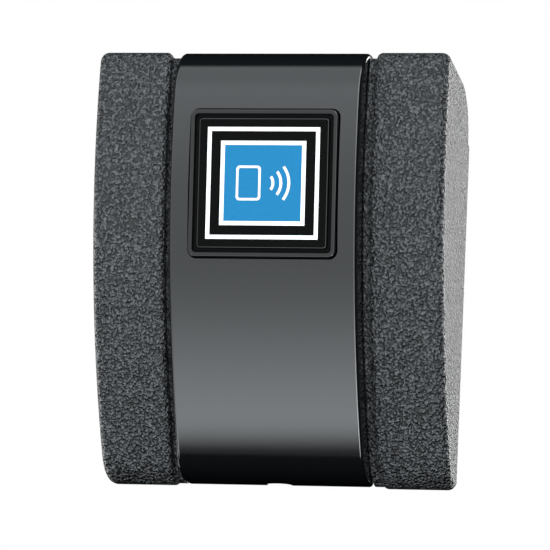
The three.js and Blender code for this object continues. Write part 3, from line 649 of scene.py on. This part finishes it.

# %% [markdown]
# ## One helper for every finish
# A finish starts from a plain Principled shader with its steady values typed into its own sockets.
# The helper adds the surface detail: a mottle or grain that feeds bump, two tones of the base
# colour, and a roughness that changes a little from place to place. On a mottle the two tones
# differ at random; on a grain they are painted shade in the valleys and a painted lighter tone on the crowns.

# %% The finish helper
def finish(name, dark, light, rough, metallic=0.0, grain="fine", cells=2500.0, depth_mm=0.01, wear=0.3,
           edge_tone=None, coat=0.0, specular=0.5):
    material = bpy.data.materials.new(name)
    material.use_nodes = True
    tree = material.node_tree
    shader = tree.nodes["Principled BSDF"]
    shader.inputs["Metallic"].default_value = metallic
    shader.inputs["Coat Weight"].default_value = coat
    shader.inputs["Specular IOR Level"].default_value = specular
    place = tree.nodes.new("ShaderNodeTexCoord").outputs["Object"]
    detail = tree.nodes.new("ShaderNodeGroup")
    detail.node_tree = pebble_grain if grain == "pebble" else fine_mottle
    tree.links.new(place, detail.inputs["Place"])
    detail.inputs[1].default_value = cells
    worn = tree.nodes.new("ShaderNodeGroup")
    worn.node_tree = handling_wear
    worn.inputs["Amount"].default_value = wear
    tree.links.new(place, worn.inputs["Place"])
    tones = tree.nodes.new("ShaderNodeMix")
    tones.data_type = "RGBA"
    tones.inputs["A"].default_value = (*light, 1)
    tones.inputs["B"].default_value = (*dark, 1)
    # On a pebble grain this mix lays painted shade into the valleys and a painted lighter tone on the crowns;
    # on a fine mottle it is tone that differs at random.
    tree.links.new(detail.outputs["Painted valley shade" if grain == "pebble" else "Specks"], tones.inputs["Factor"])
    edged = tree.nodes.new("ShaderNodeMix")
    edged.data_type = "RGBA"
    edged.inputs["B"].default_value = (*(edge_tone or light), 1)
    tree.links.new(tones.outputs["Result"], edged.inputs["A"])
    tree.links.new(worn.outputs["Edges"], edged.inputs["Factor"])
    tree.links.new(edged.outputs["Result"], shader.inputs["Base Color"])
    uneven = spread(tree, worn.outputs["Smears"], 0.0, 1.0, rough[0], rough[1])
    tree.links.new(uneven, shader.inputs["Roughness"])
    bump = tree.nodes.new("ShaderNodeBump")
    bump.inputs["Distance"].default_value = depth_mm * MM
    tree.links.new(detail.outputs["Height"], bump.inputs["Height"])
    tree.links.new(bump.outputs["Normal"], shader.inputs["Normal"])
    print("finish", name, "roughness", rough, "relief", depth_mm, "mm")
    return material


def dress(piece, *materials):
    piece.data.materials.clear()
    for material in materials:
        piece.data.materials.append(material)
    return piece


# %% [markdown]
# ## The two outer finishes and the badge
# The wings are black plastic moulded in a tool that was etched with a pebble grain. Its base colour
# carries painted shade: the valleys are painted dark and the crowns a lighter grey that stands in
# for the light they catch. The centre panel comes from a finely blasted part of the same tool, so it
# reflects softly. The badge frame is polished.

# %% Finishes of the outside
# Painted shade: the dark tone fills the grain's valleys, and the light tone on the crowns stands in for
# caught light.
grained_black = finish("grained_black", (0.004, 0.005, 0.006), (0.092, 0.098, 0.103), (0.34, 0.42),
                       grain="pebble", cells=1350.0, depth_mm=0.85, wear=0.3)
satin_black = finish("satin_black", (0.0035, 0.004, 0.0045), (0.007, 0.008, 0.009), (0.12, 0.15),
                     cells=3200.0, depth_mm=0.002, wear=0.25, specular=0.68)
polished_black = finish("polished_black", (0.003, 0.003, 0.003), (0.005, 0.005, 0.0055), (0.08, 0.14),
                        cells=1500.0, depth_mm=0.001, wear=0.4)
print_black = finish("print_black", (0.0015, 0.0015, 0.0015), (0.0025, 0.0025, 0.0025), (0.07, 0.12),
                     cells=1500.0, depth_mm=0.0006, wear=0.3, specular=0.05)
print_white = finish("print_white", (0.78, 0.80, 0.82), (0.84, 0.86, 0.88), (0.1, 0.16),
                     cells=4000.0, depth_mm=0.0006, wear=0.2, specular=0.2)
print_blue = finish("print_blue", (0.010, 0.139, 0.29), (0.0126, 0.158, 0.335), (0.1, 0.16),
                    cells=4000.0, depth_mm=0.0006, wear=0.2, specular=0.1)
pale_foil = finish("pale_foil", (0.66, 0.66, 0.62), (0.78, 0.78, 0.74), (0.25, 0.35),
                   cells=5000.0, depth_mm=0.002, wear=0.2)

dress(housing, grained_black)
dress(panel, satin_black)
dress(bezel, polished_black, print_black)
dress(card, pale_foil)
dress(plate, print_black, print_white, print_blue, polished_black)
outward = Vector((0, -math.cos(BADGE_TILT), math.sin(BADGE_TILT)))
colour_slots = {"black": 0, "white": 1, "blue": 2}
for face, colour in zip(plate.data.polygons, ring_of_face):
    on_rim = 0.05 < face.normal.dot(outward) < 0.995
    face.material_index = 3 if on_rim else colour_slots[colour]
for face in bezel.data.polygons:
    proud = (face.center - badge_centre).dot(outward) / MM
    face.material_index = 0 if proud > 0.1 and face.normal.dot(outward) > 0.05 else 1

pieces = {
    "front_housing": (housing, "textured_shell"),
    "centre_panel": (panel, "gloss_panel"),
    "badge_bezel": (bezel, "badge_black"),
    "badge_plate": (plate, "badge_print"),
}
for node, (piece, slot) in pieces.items():
    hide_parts(node)
    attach(piece, "reader")
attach(card, "reader")
print("pieces that stand for CAD nodes:", list(pieces))

# %% [markdown]
# ## Finishes for the pieces inside and behind
# The wall plate, the gasket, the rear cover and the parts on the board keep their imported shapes.
# Each gets a finish of its own: rolled zinc, foam rubber, blasted plastic, solder mask, drawn
# cans and enamelled wire.

# %% Finishes of the other pieces, by record slot
inside_finishes = {
    # Painted shade as on the wings: the grain's valleys take the dark tone and the crowns the lighter one.
    "foam_rubber": finish("foam_rubber", (0.008, 0.008, 0.009), (0.022, 0.022, 0.024), (0.8, 0.95),
                          grain="pebble", cells=2600.0, depth_mm=0.08),
    "zinc_steel": finish("zinc_plate", (0.30, 0.32, 0.34), (0.44, 0.46, 0.48), (0.34, 0.5), metallic=1.0,
                         cells=1400.0, depth_mm=0.004, wear=0.7, edge_tone=(0.55, 0.56, 0.57)),
    "dark_plastic": finish("blasted_black", (0.012, 0.0125, 0.013), (0.024, 0.025, 0.026), (0.5, 0.62),
                           cells=3000.0, depth_mm=0.02),
    "circuit_board": finish("solder_mask", (0.008, 0.085, 0.035), (0.015, 0.13, 0.05), (0.3, 0.42),
                            cells=1800.0, depth_mm=0.006),
    "chip_plastic": finish("chip_case", (0.010, 0.010, 0.011), (0.020, 0.020, 0.021), (0.5, 0.6),
                           depth_mm=0.008),
    "bright_can": finish("drawn_can", (0.60, 0.61, 0.63), (0.74, 0.75, 0.77), (0.22, 0.34), metallic=1.0,
                         depth_mm=0.003),
    "led_red": finish("red_lens", (0.42, 0.012, 0.010), (0.55, 0.02, 0.015), (0.12, 0.2), depth_mm=0.001),
    "led_amber": finish("amber_lens", (0.58, 0.22, 0.012), (0.70, 0.30, 0.02), (0.12, 0.2), depth_mm=0.001),
    "led_green": finish("green_lens", (0.02, 0.30, 0.06), (0.03, 0.40, 0.08), (0.12, 0.2), depth_mm=0.001),
    "light_plastic": finish("milky_light_guide", (0.70, 0.73, 0.75), (0.80, 0.83, 0.85), (0.2, 0.3),
                            depth_mm=0.002),
    "former_plastic": finish("natural_nylon", (0.52, 0.48, 0.38), (0.62, 0.58, 0.47), (0.42, 0.55),
                             depth_mm=0.01),
    "copper_wire": finish("enamelled_copper", (0.38, 0.12, 0.035), (0.60, 0.23, 0.08), (0.22, 0.34),
                          metallic=1.0, cells=5200.0, depth_mm=0.05, coat=0.4),
    "terminal_plastic": finish("green_nylon", (0.012, 0.14, 0.05), (0.02, 0.19, 0.07), (0.36, 0.5),
                               depth_mm=0.008),
    "switch_plastic": finish("red_nylon", (0.15, 0.010, 0.010), (0.20, 0.016, 0.015), (0.36, 0.5),
                             depth_mm=0.008),
    "plunger_plastic": finish("acetal", (0.62, 0.60, 0.54), (0.72, 0.70, 0.64), (0.3, 0.42),
                              depth_mm=0.004),
}
slot_of = {part["node"]: part["material_slot"] for part in frame["record"]["subparts"]}
for node, piece in frame["nodes"].items():
    if node not in pieces:
        dress(piece, inside_finishes[slot_of[node]])
print("packed pieces that keep their shape:", len(frame["nodes"]) - len(pieces))

# %% [markdown]
# ## Floor, light and camera
# The reader is shown on a plain white ground under one broad soft light tent: it is bright in
# front and dark behind and underneath, which leaves clean dark bands where the panel rolls over.
# The tent is painted on the world by direction. One soft box behind on the right lights the
# grained side, one behind on the left fills the back, and one low in front lifts the foot of the
# wings without being mirrored in the panel. A pale floor lies well below.

# %% The light tent
world = bpy.context.scene.world or bpy.data.worlds.new("light_tent")
bpy.context.scene.world = world
world.use_nodes = True
tent = world.node_tree
tent.nodes.clear()
TENT_STRENGTH = 3.75
TENT_STEPS = [  # height of the direction (-1 is straight down) and brightness
    (-0.765, 0.0), (-0.745, 0.6), (-0.715, 1.0), (-0.63, 0.86), (-0.48, 0.58), (-0.37, 0.42), (-0.26, 0.34),
    (0.0, 0.36), (0.15, 0.44), (0.34, 0.54), (0.7, 0.44), (1.0, 0.4)]
direction = tent.nodes.new("ShaderNodeTexCoord").outputs["Generated"]
parts_of = tent.nodes.new("ShaderNodeSeparateXYZ")
tent.links.new(direction, parts_of.inputs[0])
ramp = tent.nodes.new("ShaderNodeValToRGB")
steps = ramp.color_ramp.elements
while len(steps) < len(TENT_STEPS):
    steps.new(0.5)
for step, (height, level) in zip(steps, TENT_STEPS):
    step.position = height / 2 + 0.5
    step.color = (level * 0.94, level * 0.99, level * 1.02, 1)
tent.links.new(spread(tent, parts_of.outputs["Z"], -1.0, 1.0), ramp.inputs["Fac"])
in_front = spread(tent, parts_of.outputs["Y"], -0.06, -0.2)
from_left = spread(tent, parts_of.outputs["X"], 0.6, 0.5)
strip = sums(tent, "ADD", spread(tent, parts_of.outputs["X"], 0.2, 0.35, 0.0, 2.2), 1.0)
opening = sums(tent, "MULTIPLY", in_front, from_left)
soft = sums(tent, "MULTIPLY", opening, sums(tent, "MULTIPLY", strip, TENT_STRENGTH))
light = tent.nodes.new("ShaderNodeBackground")
tent.links.new(ramp.outputs["Color"], light.inputs["Color"])
tent.links.new(soft, light.inputs["Strength"])
ground = tent.nodes.new("ShaderNodeBackground")
ground.inputs["Color"].default_value = (1, 1, 1, 1)
seen = tent.nodes.new("ShaderNodeLightPath").outputs["Is Camera Ray"]
either = tent.nodes.new("ShaderNodeMixShader")
tent.links.new(seen, either.inputs[0])
tent.links.new(light.outputs[0], either.inputs[1])
tent.links.new(ground.outputs[0], either.inputs[2])
tent.links.new(either.outputs[0], tent.nodes.new("ShaderNodeOutputWorld").inputs["Surface"])
print("light tent with", len(TENT_STEPS), "brightness steps")


# %% The three soft boxes and the floor
def soft_box(name, place, size, power):
    deselect()
    bpy.ops.object.light_add(type="AREA", location=place)
    lamp = bpy.context.object
    lamp.name = name
    lamp.data.size = size
    lamp.data.energy = power
    lamp.rotation_euler = (Vector((0, 0, 0)) - Vector(place)).to_track_quat("-Z", "Y").to_euler()
    lamp.visible_camera = False
    return lamp


soft_box("side_light", (0.62, 1.0, 0.2), 0.7, 11)
soft_box("rear_fill", (-0.9, 0.5, -0.1), 0.5, 5)
low_fill = soft_box("low_fill", (0.05, -0.75, -0.5), 0.5, 4)
low_fill.visible_glossy = False
FLOOR_DROP = -0.62
deselect()
bpy.ops.mesh.primitive_circle_add(vertices=96, radius=6, fill_type="NGON", location=(0, 0, FLOOR_DROP))
floor = bpy.context.object
floor.name = "floor"
settle(floor)
floor.visible_glossy = False
floor.visible_diffuse = False
dress(floor, finish("pale_floor", (0.80, 0.80, 0.79), (0.82, 0.82, 0.81), (0.9, 0.95), cells=300.0,
                    depth_mm=0.02, wear=0.0, specular=0.1))

# %% The camera
CAMERA_TURN = math.radians(12.5)
CAMERA_BELOW = math.radians(8.7)
CAMERA_ROLL = math.radians(2.5)
CAMERA_DISTANCE = 1.3
LENS = 340.4
right = Vector((math.cos(CAMERA_TURN), math.sin(CAMERA_TURN), 0))
back = Vector((
    math.sin(CAMERA_TURN) * math.cos(CAMERA_BELOW),
    -math.cos(CAMERA_TURN) * math.cos(CAMERA_BELOW),
    -math.sin(CAMERA_BELOW)))
up = back.cross(right)
across = right * math.cos(CAMERA_ROLL) + up * math.sin(CAMERA_ROLL)
upward = up * math.cos(CAMERA_ROLL) - right * math.sin(CAMERA_ROLL)
aim = Vector((0, -0.0125, 0.0038)) - across * 1.75 * MM - upward * 4.55 * MM
deselect()
bpy.ops.object.camera_add(location=aim + back * CAMERA_DISTANCE)
camera = bpy.context.object
camera.rotation_mode = "QUATERNION"
camera.rotation_quaternion = Matrix((across, upward, back)).transposed().to_quaternion()
camera.data.lens = LENS
camera.data.clip_end = 30
bpy.context.scene.camera = camera
bpy.context.scene.view_settings.view_transform = "Standard"
print("camera stands at", [round(v, 3) for v in camera.location])
